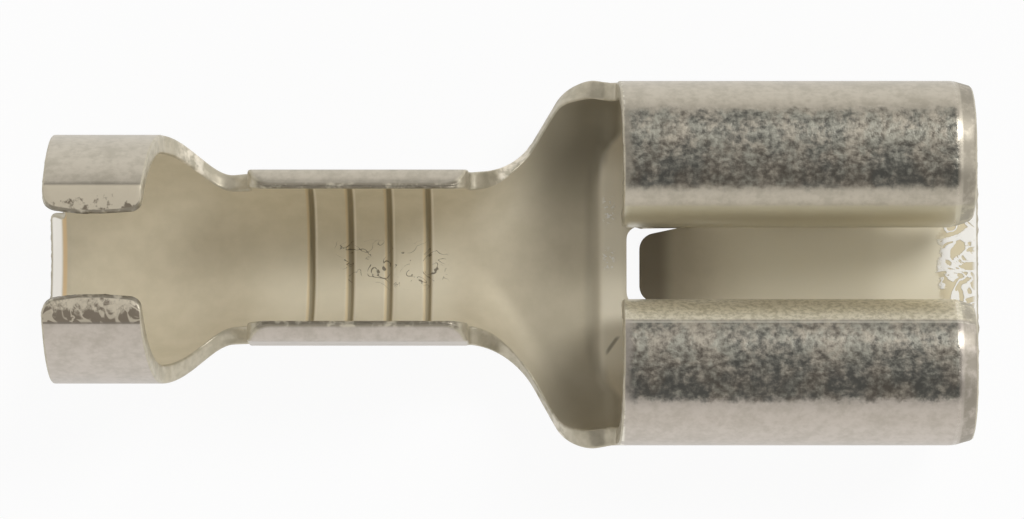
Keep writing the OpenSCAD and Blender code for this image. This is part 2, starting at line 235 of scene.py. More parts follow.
def section(x):
    """Flat half width, bend radius, angle of the bend and edge position of the mid line at x."""
    u = np.clip((x - X_NECK) / NECK_L, 0, 1)
    end_half = (WIRE_R + HALF) * math.sin(EDGE_SLOPE_NECK)
    half = mix(INS_R + HALF, end_half, ease((x - X_NECK) / (NECK_L - NECK_END_L)))
    neck_slope = mix(QUARTER, EDGE_SLOPE_NECK, u) - NECK_OPEN * np.sin(math.pi * u)
    neck_r = half / np.sin(neck_slope) - HALF
    u = (x - X_SHOULDER) / (X_JOGGLE - X_SHOULDER)
    down = mix(EDGE_SLOPE_WIRE, EDGE_SLOPE_MID, ease(u / DOWN_SHARE))
    slope = mix(down, QUARTER, ease((u - 1) / RISE_SHARE + 1))
    flat = FLOOR_HALF * ease(u)
    shoulder_r = (outline_half(x) - flat) / np.sin(slope) - HALF
    stub = WALL_STUB * ease((x - X_JOGGLE) / JOGGLE_TO_CURL)
    shoulder_edge = flat + shoulder_r * slope + stub
    before = [x < X_NECK, x < X_WIRE, x < X_SHOULDER, x < X_REC]
    return (np.select(before, [0, 0, 0, flat], FLOOR_HALF),
            np.select(before, [INS_R, neck_r, WIRE_R, shoulder_r], LOW_R),
            np.select(before, [math.pi, math.pi, WIRE_TURN, slope], QUARTER),
            np.select(before, [INS_REACH, neck_r * neck_slope, WIRE_REACH, shoulder_edge], S_END))


def lift(x, y):
    """Rise of the joggle in the floor, which turns back at its two ends."""
    q = np.clip((np.abs(y) - JOGGLE_HALF) / (FLOOR_HALF - JOGGLE_HALF), 0, 1)
    edge = X_JOGGLE + (JOGGLE_TO_CURL - JOGGLE_L) * (1 - np.sqrt(1 - q * q))
    return JOGGLE_RISE * ease((x - edge) / JOGGLE_L + 0.5)


def bent_lance(x, s, t):
    """The lance: a bend down from its root in the floor, then straight on."""
    along = X_ROOT - x
    angle = np.clip(along / LANCE_R, 0, LANCE_ANGLE)
    rest = along - angle * LANCE_R
    down = JOGGLE_RISE + HALF - LANCE_R + (LANCE_R + t) * np.cos(angle) - rest * np.sin(angle)
    return np.stack([X_ROOT - (LANCE_R + t) * np.sin(angle) - rest * np.cos(angle), s, down], axis=1)


def fold(x, s, t, on_lance):
    """Folds points of the blank: s is across it along the mid line, t is above the mid line."""
    across = np.abs(s)
    on_wire_wing = (across > WIRE_WING_S) & (x > X_WIRE - PAST_END) & (x < X_SHOULDER + PAST_END)
    home = np.where(on_wire_wing, np.clip(x, X_WIRE, X_SHOULDER - JUST), x)
    on_ins_wing = (across > INS_WING_S) & (x < X_NECK + PAST_END)
    home = np.where(on_ins_wing, np.minimum(x, X_NECK - JUST), home)
    home = np.where((across > S_WALL) & (x > X_REC - PAST_END), np.maximum(x, X_REC), home)
    flat, radius, turn, _ = section(home)
    none = np.zeros_like(x)
    endless = none + 1000
    wall = np.where(home >= X_REC, WALL_L, endless)
    left = across
    y = none.copy()
    z = none + HALF
    angle = none.copy()
    for length, bend_r in ((flat, None), (turn * radius, radius), (wall, None),
                           (none + QUARTER * TOP_R, TOP_R), (none + CROWN_L, None),
                           (none + QUARTER * TIP_R, TIP_R), (endless, None)):
        step = np.clip(left, 0, length)
        left = left - step
        if bend_r is None:
            y += step * np.cos(angle)
            z += step * np.sin(angle)
        else:
            new = angle + step / bend_r
            y += bend_r * (np.sin(new) - np.sin(angle))
            z += bend_r * (np.cos(angle) - np.cos(new))
            angle = new
    z += lift(x, y) + t * np.cos(angle)
    y -= t * np.sin(angle)
    sway = OFF_LINE * mix(OFF_LINE_INS, 1, ease((x - X_NECK) / NECK_L))
    sway = sway * (1 - ease((x - X_SHOULDER) / OFF_LINE_END_L))
    bent = np.stack([x, np.sign(s) * y + sway, z], axis=1)
    return np.where(on_lance[:, None], bent_lance(x, s, t), bent)


def coined(x, s):
    """How far the coining tool takes the inside and the outside of the sheet down."""
    across = np.abs(s)
    inside = LEAD_D * np.clip((x - TOTAL_L + LEAD_L) / LEAD_L, 0, 1) * (across < S_WALL)
    inside += (SHEET - STUB_TIP) * np.clip(1 - x / X_INS, 0, 1)
    below_tip = ease((WIRE_REACH - GROOVE_TO_TIP - across) / GROOVE_FADE)
    for groove in GROOVES:
        off = np.abs(x - groove) / (GROOVE_W / 2)
        inside += GROOVE_D * (1 - ease((off - GROOVE_FLAT) / (1 - GROOVE_FLAT))) * below_tip
    outside = MOUTH_BEVEL_D * np.clip((x - X_MOUTH + MOUTH_BEVEL_L) / MOUTH_BEVEL_L, 0, 1)
    outside = outside * (across > S_WALL - MOUTH_BEVEL_LOW)
    bevel_l = INS_BEVEL_L * INS_R / (INS_R + HALF)
    outside += INS_BEVEL_D * np.clip(1 - (INS_REACH - across) / bevel_l, 0, 1) * (x < X_NECK)
    on_wing = (x > X_WIRE - PAST_END) & (x < X_SHOULDER + PAST_END)
    outside += WIRE_BEVEL_W * np.clip(1 - (WIRE_REACH - across) / WIRE_BEVEL_H, 0, 1) * on_wing
    return inside, outside


def ins_front(s):
    """The end of the insulation barrel at the neck, raked back above the barrel's middle."""
    z = INS_R * (1 - math.cos(s / INS_R)) + HALF
    return X_NECK - INS_RAKE * max(0, z - INS_R - HALF) / (INS_R * math.sin(INS_ANGLE))


def curl_rear(s):
    """The rear end of a curl, raked from the foot of its wall up to its crown."""
    if s > S_CROWN:
        return X_REC + CURL_RAKE
    at = np.array([X_REC + 0.01]), np.array([s])
    z = float(fold(*at, np.zeros(1), np.zeros(1, bool))[0, 2]) - JOGGLE_RISE
    wall_z = LOW_R + HALF + WALL_STUB
    return X_REC + CURL_RAKE * (z - wall_z) / (REC_H - wall_z)


def edge_at(x):
    """How far out the blank's edge is at one place along it."""
    return float(section(np.array([x]))[3][0])


def edge_run(x0, x1, steps):
    """Points along that edge from x0 to x1."""
    x = np.linspace(x0, x1, steps)
    return [(a, b, 0) for a, b in zip(x, section(x)[3])]


# The blank: half of its outline, from the cut-off stub to the mouth. A third number is the
# radius that the punch gives that corner.
stub_s = INS_R * math.asin(STUB_W / 2 / INS_R)
half_path = [(0, stub_s, 0.12), (X_INS, stub_s, 0.1), (X_INS, INS_REACH - TIP_FRONT_DROP, INS_CORNER_R)]
half_path += [(X_INS + 0.75, INS_REACH + TIP_BULGE, 0), (X_NECK - 1.05, INS_REACH + TIP_BULGE, 0)]
half_path += [(ins_front(INS_REACH), INS_REACH - TIP_REAR_DROP, INS_CORNER_R)]
half_path += [(ins_front(s), s, 0) for s in np.linspace(INS_REACH - 0.5, INS_R * QUARTER + 0.3, 16)]
half_path += [(X_NECK, INS_R * QUARTER, 0.2)] + edge_run(X_NECK + 0.25, X_WIRE - 0.2, 24)
half_path += [(X_WIRE, edge_at(X_WIRE - JUST), 0.12), (X_WIRE, WIRE_REACH, WIRE_CORNER_R)]
half_path += [(X_SHOULDER, WIRE_REACH, WIRE_CORNER_R), (X_SHOULDER, edge_at(X_SHOULDER + JUST), 0.12)]
half_path += edge_run(X_SHOULDER + 0.2, X_REC - 0.02, 60)
half_path += [(curl_rear(s), s, 0) for s in np.linspace(S_WALL + WALL_STUB + 0.06, S_END - 0.5, 60)]
half_path += [(curl_rear(S_END), S_END, CURL_CORNER_R), (X_MOUTH - CROWN_BACK, S_END, CURL_CORNER_R)]
half_path += [(X_MOUTH - CROWN_BACK, S_TOP, 0), (X_MOUTH, S_WALL + 0.2, 0)]
half_path += [(X_MOUTH, FLOOR_HALF, 0.1), (TOTAL_L, FLOOR_HALF, 0.18)]

# Spacing of the mesh's points along the edges, over the sheet, off its edges and at the grooves.
LOOP_STEP = 0.068
GRID_STEP = 0.088
GRID_CLEAR = 0.55 * GRID_STEP
GROOVE_STEP = 0.4 * GRID_STEP
EDGE_R = 0.05  # of the rounding along every sheared edge
EDGE_SHARE = 0.3  # of the sheet's thickness, which that rounding never passes
ARC_POINTS = 9


def rounded(path, spacing):
    """Closed path with its corners rounded, then with points at equal distances."""
    p = np.array(path, float)
    points = []
    for i in range(len(p)):
        before, here, after, r = p[i - 1, :2], p[i, :2], p[(i + 1) % len(p), :2], p[i, 2]
        a, b = before - here, after - here
        la, lb = np.linalg.norm(a), np.linalg.norm(b)
        if r == 0 or la < JUST or lb < JUST:
            points.append(here)
            continue
        a, b = a / la, b / lb
        half = math.acos(np.clip(a @ b, -1, 1)) / 2
        reach = min(r / math.tan(half), 0.49 * la, 0.49 * lb)
        r = reach * math.tan(half)
        centre = here + (a + b) / np.linalg.norm(a + b) * r / math.sin(half)
        start, end = here + a * reach - centre, here + b * reach - centre
        sweep = math.acos(np.clip(start @ end / (r * r), -1, 1))
        for k in np.linspace(0, 1, ARC_POINTS):
            w = (math.sin((1 - k) * sweep) * start + math.sin(k * sweep) * end) / math.sin(sweep)
            points.append(centre + w)
    p = np.array(points + [points[0]])
    run = np.concatenate([[0], np.cumsum(np.linalg.norm(np.diff(p, axis=0), axis=1))])
    at = np.linspace(0, run[-1], int(run[-1] / spacing) + 1)[:-1]
    return np.stack([np.interp(at, run, p[:, 0]), np.interp(at, run, p[:, 1])], axis=1)


def outward(loop):
    """Unit normals of a loop, away from the metal on its left."""
    d = np.roll(loop, -1, axis=0) - np.roll(loop, 1, axis=0)
    n = np.stack([d[:, 1], -d[:, 0]], axis=1)
    return n / np.linalg.norm(n, axis=1)[:, None]


def enclosed(points, rings):
    """Even-odd test of points against closed rings."""
    odd = np.zeros(len(points), bool)
    for ring in rings:
        for a, b in zip(ring, np.roll(ring, -1, axis=0)):
            if a[1] == b[1]:
                continue
            crosses = (points[:, 1] < a[1]) != (points[:, 1] < b[1])
            odd ^= crosses & (points[:, 0] < a[0] + (points[:, 1] - a[1]) * (b[0] - a[0]) / (b[1] - a[1]))
    return odd


def lance_part(p):
    """Which points of the blank are bent down with the lance."""
    half = WINDOW_HALF - LANCE_SIDE_GAP / 2
    return (np.abs(p[:, 1]) < half) & (p[:, 0] < X_ROOT) & (p[:, 0] > X_FREE - LANCE_MARGIN)


lower = [(x, -s, r) for x, s, r in half_path]
blank_loop = rounded(lower + half_path[::-1], LOOP_STEP)
window = [(X_ROOT, WINDOW_HALF, 0), (X_WINDOW, WINDOW_HALF, WINDOW_R),
          (X_WINDOW, -WINDOW_HALF, WINDOW_R), (X_ROOT, -WINDOW_HALF, 0),
          (X_ROOT, -LANCE_HALF, 0), (X_FREE + LANCE_TAPER_L, -LANCE_HALF, LANCE_CORNER_R),
          (X_FREE, LANCE_TAPER - LANCE_HALF, LANCE_CORNER_R),
          (X_FREE, LANCE_HALF - LANCE_TAPER, LANCE_CORNER_R),
          (X_FREE + LANCE_TAPER_L, LANCE_HALF, LANCE_CORNER_R), (X_ROOT, LANCE_HALF, 0)]
window_loop = rounded(window, LOOP_STEP)
loops = [blank_loop, window_loop]
normals = [outward(loop) for loop in loops]
inset = [loop - EDGE_R * n for loop, n in zip(loops, normals)]

# Points inside the blank: a grid that is finer along it at the grooves, and clear of its edges.
grid_x = []
x = GRID_STEP / 2
while x < TOTAL_L:
    grid_x.append(x)
    near = min(abs(x + GROOVE_W / 4 - groove) for groove in GROOVES)
    x += GROOVE_STEP if near < 0.8 * GROOVE_W else GRID_STEP
grid_s = np.arange(-S_END, S_END, GRID_STEP)
grid = np.stack(np.meshgrid(grid_x, grid_s, indexing="ij"), axis=2).reshape(-1, 2)
grid = grid[np.abs(grid[:, 1]) < section(grid[:, 0])[3] + 0.5]
grid = grid[enclosed(grid, inset)]
rim_points = np.concatenate(inset)
clear = np.ones(len(grid), bool)
for block in np.array_split(rim_points, 40):
    apart = grid[:, None, :] - block[None, :, :]
    clear &= ((apart * apart).sum(axis=2) > GRID_CLEAR**2).all(axis=1)
points = np.concatenate([rim_points, grid[clear]])

# The flat blank as triangles between its two loops, without those that are no more than a line.
ring_edges = []
start = 0
for loop in inset:
    n = len(loop)
    ring_edges += [(start + i, start + (i + 1) % n) for i in range(n)]
    start += n
verts, _, faces, sources, _, _ = delaunay_2d_cdt([Vector(p) for p in points], ring_edges, [], 0, JUST, True)
flat_points = np.array([tuple(v) for v in verts])
triangles = np.array([tuple(f) for f in faces])
triangles = triangles[enclosed(flat_points[triangles].mean(axis=1), inset)]
corners = flat_points[triangles]
one, other = corners[:, 1] - corners[:, 0], corners[:, 2] - corners[:, 0]
triangles = triangles[np.abs(one[:, 0] * other[:, 1] - one[:, 1] * other[:, 0]) > JUST]
place = np.full(len(points), -1)
for i, ids in enumerate(sources):
    for k in ids:
        place[k] = i

# Both faces of the sheet, then the sheared edges between them: rounded along each face, and a
# little uneven between, as a punch tears the metal.
TEAR = 0.006
TURNS = [(math.sin(a) - 1, math.cos(a) - 1) for a in (0.5, 1.05, QUARTER)]
TORN_DEPTHS = (0.3, 0.5, 0.7)
random = np.random.default_rng(7)
cut_in, cut_out = coined(flat_points[:, 0], flat_points[:, 1])
lance_flag = lance_part(flat_points)
layers = [fold(flat_points[:, 0], flat_points[:, 1], HALF - cut_in, lance_flag),
          fold(flat_points[:, 0], flat_points[:, 1], -HALF + cut_out, lance_flag)]
blank_at = [flat_points, flat_points]
count = len(flat_points)
sheared = [np.zeros(2 * count)]
side = [np.ones(count), -np.ones(count)]
quads = []
total = 2 * count
start = 0
for loop, n in zip(loops, normals):
    size = len(loop)
    ids = place[start:start + size]
    start += size
    lance_flag = lance_part(loop - EDGE_R * n)
    cut_in, cut_out = coined(loop[:, 0], loop[:, 1])
    inner, outer = HALF - cut_in, -HALF + cut_out
    thick = inner - outer
    r = np.minimum(EDGE_R, EDGE_SHARE * thick)
    tear = random.normal(0, 1, (len(TORN_DEPTHS), size))
    tear = (tear + np.roll(tear, 1, axis=1)) * TEAR
    steps = [(np.full(size, out * EDGE_R), inner + down * r) for out, down in TURNS]
    steps += [(row, inner - depth * thick) for row, depth in zip(tear, TORN_DEPTHS)]
    steps += [(np.full(size, out * EDGE_R), outer - down * r) for out, down in TURNS[::-1]]
    rows = [ids]
    for off, t in steps:
        at = loop + off[:, None] * n
        layers.append(fold(at[:, 0], at[:, 1], t, lance_flag))
        blank_at.append(at)
        sheared.append(np.ones(size))
        side.append(np.zeros(size))
        rows.append(np.arange(total, total + size))
        total += size
    rows.append(ids + count)
    for a, b in zip(rows, rows[1:]):
        quads.append(np.stack([a, b, np.roll(b, -1), np.roll(a, -1)], axis=1))

# It stands on the lowest point of its lance, with the middle of its length at X = 0.
co = np.concatenate(layers)
co += [-TOTAL_L / 2, 0, -co[:, 2].min()]
co *= MM
faces = [tuple(f) for f in triangles] + [tuple(f) for f in triangles[:, ::-1] + count]
faces += [tuple(f) for q in quads for f in q]
mesh = bpy.data.meshes.new("spade_terminal")
mesh.from_pydata(co.tolist(), [], faces)
mesh.shade_smooth()
for name, values in (("sheared", np.concatenate(sheared)), ("side", np.concatenate(side))):
    mesh.attributes.new(name, "FLOAT", "POINT").data.foreach_set("value", values.astype(np.float32))
flat_at = np.concatenate(blank_at)
flat_at = np.concatenate([flat_at, np.zeros((len(flat_at), 1))], axis=1).astype(np.float32)
mesh.attributes.new("blank", "FLOAT_VECTOR", "POINT").data.foreach_set("vector", flat_at.ravel())
terminal = bpy.data.objects.new("spade_terminal", mesh)
bpy.context.collection.objects.link(terminal)


class Signal:
    """A value on its way through a finish: arithmetic on it adds Math nodes."""

    def __init__(self, finish, socket):
        self.finish = finish
        self.socket = socket

    def math(self, operation, *values):
        return self.finish.node("ShaderNodeMath", {"operation": operation}, dict(enumerate(values)))

    def __add__(self, other):
        return self.math("ADD", self, other)

    def __radd__(self, other):
        return self.math("ADD", other, self)

    def __sub__(self, other):
        return self.math("SUBTRACT", self, other)

    def __rsub__(self, other):
        return self.math("SUBTRACT", other, self)

    def __mul__(self, other):
        return self.math("MULTIPLY", self, other)

    def __rmul__(self, other):
        return self.math("MULTIPLY", other, self)

    def __truediv__(self, other):
        return self.math("DIVIDE", self, other)

    def __abs__(self):
        return self.math("ABSOLUTE", self)

    def __gt__(self, other):
        return self.math("GREATER_THAN", self, other)

    def capped(self):
        """The same, but 1 at most."""
        return self.math("MINIMUM", self, 1.0)

    def step(self, low, high):
        """0 below low, 1 above high, smooth between; low may be the larger one."""
        return self.finish.node("ShaderNodeMapRange", {"interpolation_type": "SMOOTHSTEP"},
                                {"Value": self, "From Min": low, "From Max": high})

    def near(self, middle, far, full):
        """1 within full of the middle, 0 beyond far on either side."""
        return abs(self - middle).step(far, full)


class Finish:
    """A material or world, whose nodes all come from one method, and its colour so far."""

    def __init__(self, block):
        block.use_nodes = True
        self.tree = block.node_tree
        self.color = None

    def node(self, kind, settings=None, values=None, output=0):
        node = self.tree.nodes.new(kind)
        for name, value in (settings or {}).items():
            setattr(node, name, value)
        for name, value in (values or {}).items():
            socket = node.inputs[name]
            if isinstance(value, Signal):
                self.tree.links.new(value.socket, socket)
            elif socket.type == "RGBA":
                socket.default_value = (*value, 1)
            else:
                socket.default_value = value
        return Signal(self, node.outputs[output])

    def link(self, signal, name, socket):
        self.tree.links.new(signal.socket, self.tree.nodes[name].inputs[socket])

    def mix(self, a, b, factor):
        """Colour a where factor is 0 and b where it is 1."""
        return self.node("ShaderNodeMix", {"data_type": "RGBA"}, {0: factor, 6: a, 7: b}, 2)

    def cover(self, color, factor):
        """Lays a colour over the one so far, where factor is more than 0."""
        self.color = self.mix(self.color, color, factor)

    def noise(self, vector, scale, detail, roughness, distortion=0.0):
        return self.node("ShaderNodeTexNoise", {"noise_dimensions": "2D"},
                         {"Vector": vector, "Scale": scale, "Detail": detail, "Roughness": roughness,
                          "Distortion": distortion})

    def scaled(self, vector, scale):
        return self.node("ShaderNodeVectorMath", {"operation": "MULTIPLY"}, {0: vector, 1: scale})


# Where a point lies on the flat blank, in millimetres, and on which face of the sheet.
tin = bpy.data.materials.new("tinned_brass")
plate = Finish(tin)
blank = plate.node("ShaderNodeAttribute", {"attribute_name": "blank"}, None, 1)
side_of = plate.node("ShaderNodeAttribute", {"attribute_name": "side"}, None, 2)
cut_edge = plate.node("ShaderNodeAttribute", {"attribute_name": "sheared"}, None, 2)
bx = plate.node("ShaderNodeSeparateXYZ", None, {0: blank}, 0)
bs = plate.node("ShaderNodeSeparateXYZ", None, {0: blank}, 1)
outside = side_of.step(0.0, -0.6)
inside = side_of.step(0.0, 0.6)
across = abs(bs)
plus_y = bs > 0

broad = plate.noise(blank, 0.9, 2.0, 0.6)
mottle = plate.noise(blank, 2.2, 3.0, 0.6)
patch = plate.noise(blank, 4.0, 3.0, 0.65)
grain = plate.noise(plate.scaled(blank, (0.8, 1.1, 1.0)), 8.0, 3.0, 0.62)
fine = plate.noise(plate.scaled(blank, (0.8, 1.2, 1.0)), 11.0, 2.0, 0.6)
curled = plate.noise(blank, 1.9, 2.0, 0.5, 1.3)

# Tin away from the crowns: beige grey outside, olive inside.
outer_low = plate.mix((0.49, 0.445, 0.385), (0.475, 0.435, 0.355), plus_y)
outer_high = plate.mix((0.59, 0.535, 0.475), (0.59, 0.54, 0.45), plus_y)
outer_tin = plate.mix(outer_low, outer_high, (0.6 * mottle + 0.4 * grain).step(0.30, 0.65))
inner_tin = plate.mix((0.68, 0.62, 0.475), (0.74, 0.675, 0.53), mottle.step(0.2, 0.8))
plate.color = plate.mix(inner_tin, outer_tin, outside)

# Painted highlight: a bright speckled band along the rear rims of the curls, where they glint.
rim = bx.near(X_REC + 0.10, 0.07, 0.02) * outside * across.step(S_WALL, S_WALL + 0.4)
plate.cover((0.92, 0.88, 0.76), 0.7 * rim * grain.step(0.42, 0.58))

# Painted reflection on the crowns of the curls: the dark opening overhead, laid into the colour as a dark
# patina with paler grains, and darkest on the -Y side of both crowns.
CROWN_LOW = 6.16
CROWN_HIGH = 7.72
BEVEL_X = X_MOUTH - MOUTH_BEVEL_L
from_rear = bx - X_REC + 0.35 * (patch - 0.5)
low = CROWN_LOW - 0.20 * plus_y + 0.30 * (patch - 0.5)
high = CROWN_HIGH - 0.24 * plus_y + 0.22 * (patch - 0.5)
crown = (across - low).step(-0.07, 0.10) * (high - across).step(-0.07, 0.09) * from_rear.step(0.12, 0.36)
crown = crown * bx.step(BEVEL_X + 0.02, BEVEL_X - 0.06) * outside
toward_dark = plus_y * across.step(6.35, 7.35) + (1 - plus_y) * across.step(7.35, 6.45)
pale = grain + 0.35 * (broad - 0.5) + 0.55 * (patch - 0.5) - 0.23 * toward_dark
pale = pale.step(0.06, 0.82)
dark_grain = plate.mix((0.128, 0.13, 0.118), (0.155, 0.136, 0.112), broad.step(0.42, 0.58))
pale_grain = plate.mix((0.455, 0.445, 0.375), (0.515, 0.47, 0.385), mottle.step(0.4, 0.6))
plate.cover(plate.mix(dark_grain, pale_grain, pale), 0.92 * crown)

# The curls' inner flanks are olive, in painted reflections: darker and smooth on the +Y curl, paler and
# finely speckled on the other, with a painted highlight line on the -Y curl where the crown's painted dark
# ends.
flank = (across - CROWN_HIGH - 0.12 * plus_y + 0.04 * (patch - 0.5)).step(-0.05, 0.03) * outside
flank_spots = plate.mix((0.66, 0.61, 0.46), (0.92, 0.86, 0.69), (0.7 * fine + 0.3 * patch).step(0.34, 0.62))
plate.cover(plate.mix(flank_spots, (0.60, 0.555, 0.42), plus_y), 0.95 * flank)
flank_line = across.near(7.66, 0.025, 0.005) * outside * (1 - plus_y) * from_rear.step(0.0, 0.3)
plate.cover((0.93, 0.90, 0.78), 0.45 * flank_line)

# Painted shade in the hollows of the shoulder, up to the joggle and its turned-back ends, darker on the +Y
# # side, with a painted dark line in the crease at the joggle's foot.
turn_back = ((across - JOGGLE_HALF) / (FLOOR_HALF - JOGGLE_HALF)).step(0.0, 1.0)
hollow_end = bx - (JOGGLE_TO_CURL - JOGGLE_L) * turn_back - 0.3 * across.step(2.4, 3.0)
in_shoulder = bx.step(X_SHOULDER + 0.5, X_JOGGLE - 0.9) * inside
in_shoulder = in_shoulder * hollow_end.step(X_JOGGLE + 0.12, X_JOGGLE - 0.12)
hollow = in_shoulder * across.step(0.5, 2.6)
plate.cover((0.28, 0.25, 0.18), hollow * (0.34 + 0.40 * plus_y) + 0.16 * in_shoulder)
joggle_line = hollow_end.near(X_JOGGLE - 0.10, 0.24, 0.06) * across.step(2.5, 2.2) * inside
plate.cover((0.30, 0.27, 0.20), 0.28 * joggle_line)

# The pad between the joggle and the window, painted lighter against the shade of the curls, with a few
# # bright specks painted as glints, and one nick.
pad = bx.step(X_JOGGLE, X_JOGGLE + 0.15) * bx.step(X_WINDOW + 0.25, X_WINDOW - 0.1)
pad = pad * across.step(FLOOR_HALF - 0.1, FLOOR_HALF - 0.8) * inside
plate.cover((0.92, 0.87, 0.73), 0.7 * pad)
speck_rows = bs.near(1.2, 0.35, 0.15) + bs.near(0.15, 0.3, 0.1)
speck = fine.step(0.56, 0.62) * bx.near(X_JOGGLE + 0.25, 0.16, 0.06) * speck_rows * inside
plate.cover((1.0, 0.97, 0.90), speck)
NICK_S = -1.72
NICK_SLOPE = 1.4
nick = (bs - NICK_S - NICK_SLOPE * (bx - X_JOGGLE - 0.3)).near(0.0, 0.10, 0.02) * bs.near(NICK_S, 0.24, 0.14)
nick = nick * bx.near(X_JOGGLE + 0.45, 0.3, 0.2) * inside
plate.cover((0.16, 0.14, 0.10), 0.6 * nick)

# Painted light in the wire barrel, most on its -Y half, whose inside faces the lamp.
painted_barrel_light = bx.step(X_WIRE - 0.6, X_WIRE + 1.0) * bx.step(X_SHOULDER + 0.3, X_SHOULDER - 0.9)
painted_barrel_light = painted_barrel_light * bs.step(1.3, -0.9) * inside
plate.cover((0.91, 0.87, 0.735), 0.55 * painted_barrel_light)

# Painted shade at the lance's free end, bent down below the floor, which pales towards its root, and painted
# # light on the part near its root.
lance_top = across.step(WINDOW_HALF, LANCE_HALF) * bx.step(X_FREE - 0.15, X_FREE - 0.1) * inside
lance_shade = 0.34 * bx.step(X_ROOT - 3.0, X_FREE + 0.3) + 0.40 * bx.step(X_FREE + 0.75, X_FREE + 0.35)
plate.cover((0.15, 0.125, 0.09), lance_top * lance_shade)
plate.cover((0.95, 0.90, 0.74), 0.9 * lance_top * bx.step(X_FREE + 0.9, X_FREE + 2.8))

# The grooves are dark brown, with a yellow line where the tin is scraped off their rear wall and a painted
# # highlight along the other.
from_start = (bx - (X_WIRE + GROOVE_START - GROOVE_PITCH / 2)) / GROOVE_PITCH
in_row = from_start.step(0.0, 0.01) * from_start.step(GROOVE_N, GROOVE_N - 0.01)
from_groove = (from_start.math("FRACT", from_start) - 0.5) * GROOVE_PITCH
on_wall = in_row * inside * across.step(WIRE_REACH - 0.1, WIRE_REACH - 0.25)
plate.cover((0.27, 0.22, 0.125), 0.70 * from_groove.near(0.01, 0.095, 0.03) * on_wall)
plate.cover((0.80, 0.66, 0.42), 0.55 * from_groove.near(-0.075, 0.045, 0.012) * on_wall)
plate.cover((0.95, 0.90, 0.80), 0.45 * from_groove.near(0.10, 0.04, 0.01) * on_wall)

# Hairline scratches in the wire barrel.
scratches = curled.near(0.5, 0.020, 0.007) * mottle.step(0.46, 0.52) * inside
scratches = scratches * bx.near(X_WIRE + 2.9, 1.35, 1.0) * bs.near(-0.1, 0.68, 0.42)
plate.cover((0.13, 0.11, 0.075), 0.75 * scratches)

# The lead-in of the mouth: worn yellow, with pale curls and a pale lip that are painted highlights.
near_mouth = (bx + 0.5 * (patch - 0.5)).step(TOTAL_L - 0.92, TOTAL_L - 0.74) * inside
lead_in_glints = (curled + 0.2 * (patch - 0.5)).near(0.5, 0.10, 0.055) + bx.step(TOTAL_L - 0.16, TOTAL_L - 0.05)
lead_in_glints = lead_in_glints.capped() * near_mouth * across.step(FLOOR_HALF, FLOOR_HALF - 0.2)
plate.cover((0.72, 0.64, 0.45), 0.8 * near_mouth)
plate.cover((1.0, 0.99, 0.95), lead_in_glints)

# The slope of the stub, painted pale as a painted reflection of the bright surroundings, with bare brass
# # along the line where it starts.
stub_slope = bx.step(X_INS - 0.02, X_INS - 0.1) * inside
plate.cover((1.0, 0.97, 0.90), stub_slope)
plate.cover((0.90, 0.66, 0.36), 0.7 * bx.near(X_INS, 0.07, 0.02) * inside)

# Sheared edges: as the inside, with a torn dark line along the tips of the four wings, partly their fracture
# # and partly painted shade, and painted highlights on the neck and the shoulder.
in_mm = plate.scaled(plate.node("ShaderNodeTexCoord", None, None, "Object"), (1000.0, 1000.0, 1000.0))
torn = plate.node("ShaderNodeTexNoise", None,
                  {"Vector": in_mm, "Scale": 4.5, "Detail": 2.0, "Roughness": 0.6})
ins_tip = across.step(INS_REACH - 0.2, INS_REACH - 0.1)
before_shoulder = bx.step(X_SHOULDER + 0.1, X_SHOULDER)
wire_tip = across.step(WIRE_REACH - 0.12, WIRE_REACH - 0.06) * bx.step(X_NECK + 0.2, X_NECK + 0.4)
wing_tip = (ins_tip + wire_tip * before_shoulder).capped() * before_shoulder
edge_tin = plate.mix((0.45, 0.41, 0.31), (0.56, 0.51, 0.40), torn.step(0.35, 0.65))
edge_tin = plate.mix(edge_tin, (0.12, 0.10, 0.075), 0.8 * wing_tip * torn.step(0.72, 0.50))
plate.cover(edge_tin, 0.85 * cut_edge)
neck_glint = bx.near(X_NECK + 0.55, 0.36, 0.10) * plus_y
shoulder_glint = bx.near(X_SHOULDER + 0.95, 0.45, 0.2) * plus_y
shoulder_glint = shoulder_glint + bx.near(X_JOGGLE - 0.85, 0.22, 0.1) * (1 - plus_y)
edge_glint = cut_edge * (neck_glint + shoulder_glint) * torn.step(0.32, 0.70)
plate.cover((1.0, 0.92, 0.77), 0.9 * edge_glint)

# The bevel round the mouth is dull and painted darker, a painted reflection of the dark opening overhead,
# # with a bright line where it starts.
ridge = bx.near(BEVEL_X + 0.02, 0.09, 0.04) * outside
on_bevel = bx.step(BEVEL_X, BEVEL_X + 0.05) * across.step(S_WALL, S_WALL + 0.3) * outside
plate.cover((0.33, 0.30, 0.245), (0.75 - 0.7 * ridge) * on_bevel * (patch + 0.3 * grain).step(0.35, 0.75))

# The bevelled tips of the insulation barrel are scuffed; the one at -Y, and the line where its bevel starts,
# # are painted much darker, a painted reflection of the dark opening overhead.
on_ins = bx.step(X_NECK, X_NECK - 0.1) * outside
scuff = (across - (INS_REACH - INS_BEVEL_L)).step(-0.03, 0.03) * on_ins
from_tip = (INS_REACH - across) / INS_BEVEL_L
scuff_and_shade_minus_y = (from_tip + 1.8 * (patch - 0.5)).step(0.10, 0.55)
scuff_and_shade_minus_y = scuff_and_shade_minus_y * (1 - 0.75 * curled.near(0.5, 0.07, 0.03))
scuff_plus_y = (0.75 - from_tip + 2.2 * (patch - 0.5)).step(0.52, 0.85)
scuff_and_shade_spots = plate.node("ShaderNodeMix", None, {0: plus_y, 2: scuff_and_shade_minus_y, 3: scuff_plus_y})
plate.cover(plate.mix((0.74, 0.66, 0.51), (0.20, 0.16, 0.11), scuff_and_shade_spots), 0.85 * scuff)
bevel_line = across.near(INS_REACH - INS_BEVEL_L, 0.035, 0.01) * on_ins
plate.cover((0.20, 0.175, 0.14), (0.65 - 0.35 * plus_y) * bevel_line)
plate.link(plate.color, "Principled BSDF", "Base Color")
